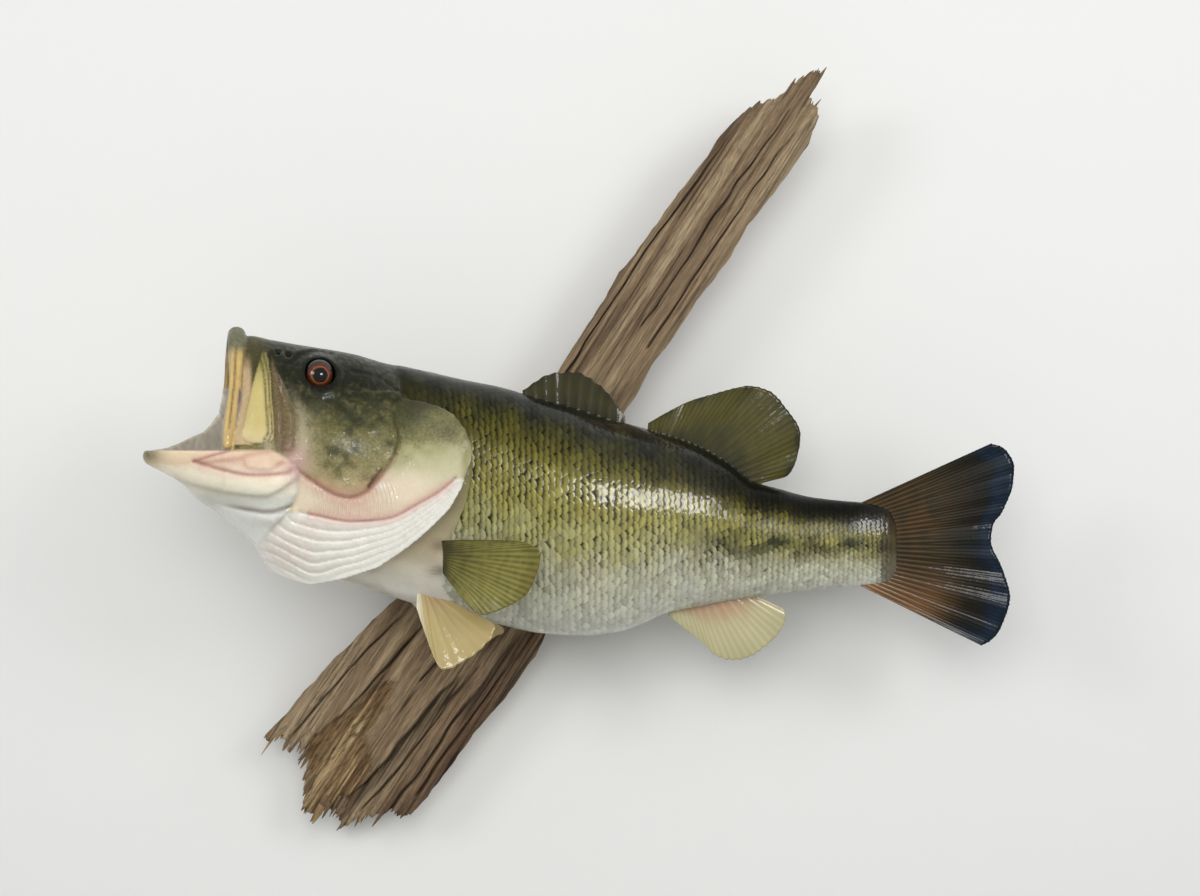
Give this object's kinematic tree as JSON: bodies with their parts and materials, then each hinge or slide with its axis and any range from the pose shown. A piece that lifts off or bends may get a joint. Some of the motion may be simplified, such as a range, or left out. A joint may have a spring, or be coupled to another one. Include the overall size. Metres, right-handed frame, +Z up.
{
  "type": "mounted largemouth bass",
  "caption": "Life-size largemouth bass with an open mouth and flared gill covers, mounted across a slanting driftwood board that hangs on a wall.",
  "frame": {"origin": "on the wall face of the planed hanging block behind the board, in the middle of the block", "axes": "+Y into the wall, out of the block's back face; +X along the fish from head to tail; +Z up the wall. The fish faces -X and its left side faces -Y, into the room"},
  "size_m": [0.5415, 0.1627, 0.5051],
  "materials": {
    "painted_skin": "painted and lacquered fish skin: near-black olive back, green-gold flanks with scales, grey-white belly, high gloss",
    "pale_skin": "lacquered white, cream and pink skin of jaw, gill cover and throat, pearly",
    "lip_skin": "lacquered yellow and peach lips with a wet gloss",
    "olive_fin": "olive translucent fin with rays, glossy",
    "pale_fin": "cream and pink translucent fin with rays, glossy",
    "tail_fin": "brown-olive fin that turns dark blue at its margin, glossy",
    "eye_glass": "glass eye, black pupil in a dark red-brown iris, polished",
    "driftwood": "weathered, cracked and splintered, matte, with fresh orange-brown wood where it has split",
    "planed_pine": "planed, unfinished",
    "hanger_steel": "zinc plated"
  },
  "bodies": {
    "root": {"head": "painted_skin", "upper_lip": "lip_skin", "lower_jaw": "pale_skin", "maxilla_left": "lip_skin", "maxilla_right": "lip_skin", "gill_cover_left": "pale_skin", "gill_cover_right": "pale_skin", "gill_membrane_left": "pale_skin", "gill_membrane_right": "pale_skin", "eye_left": "eye_glass", "eye_right": "eye_glass", "trunk": "painted_skin", "tail_stalk": "painted_skin", "first_dorsal_fin": "olive_fin", "second_dorsal_fin": "olive_fin", "anal_fin": "pale_fin", "caudal_fin": "tail_fin", "pectoral_fin_left": "olive_fin", "pectoral_fin_right": "olive_fin", "pelvic_fin_left": "pale_fin", "pelvic_fin_right": "pale_fin", "driftwood_board": "driftwood", "hanging_block": "planed_pine", "hanger_plate": "hanger_steel", "hanger_screw_left": "hanger_steel", "hanger_screw_right": "hanger_steel"}
  },
  "joints": []
}
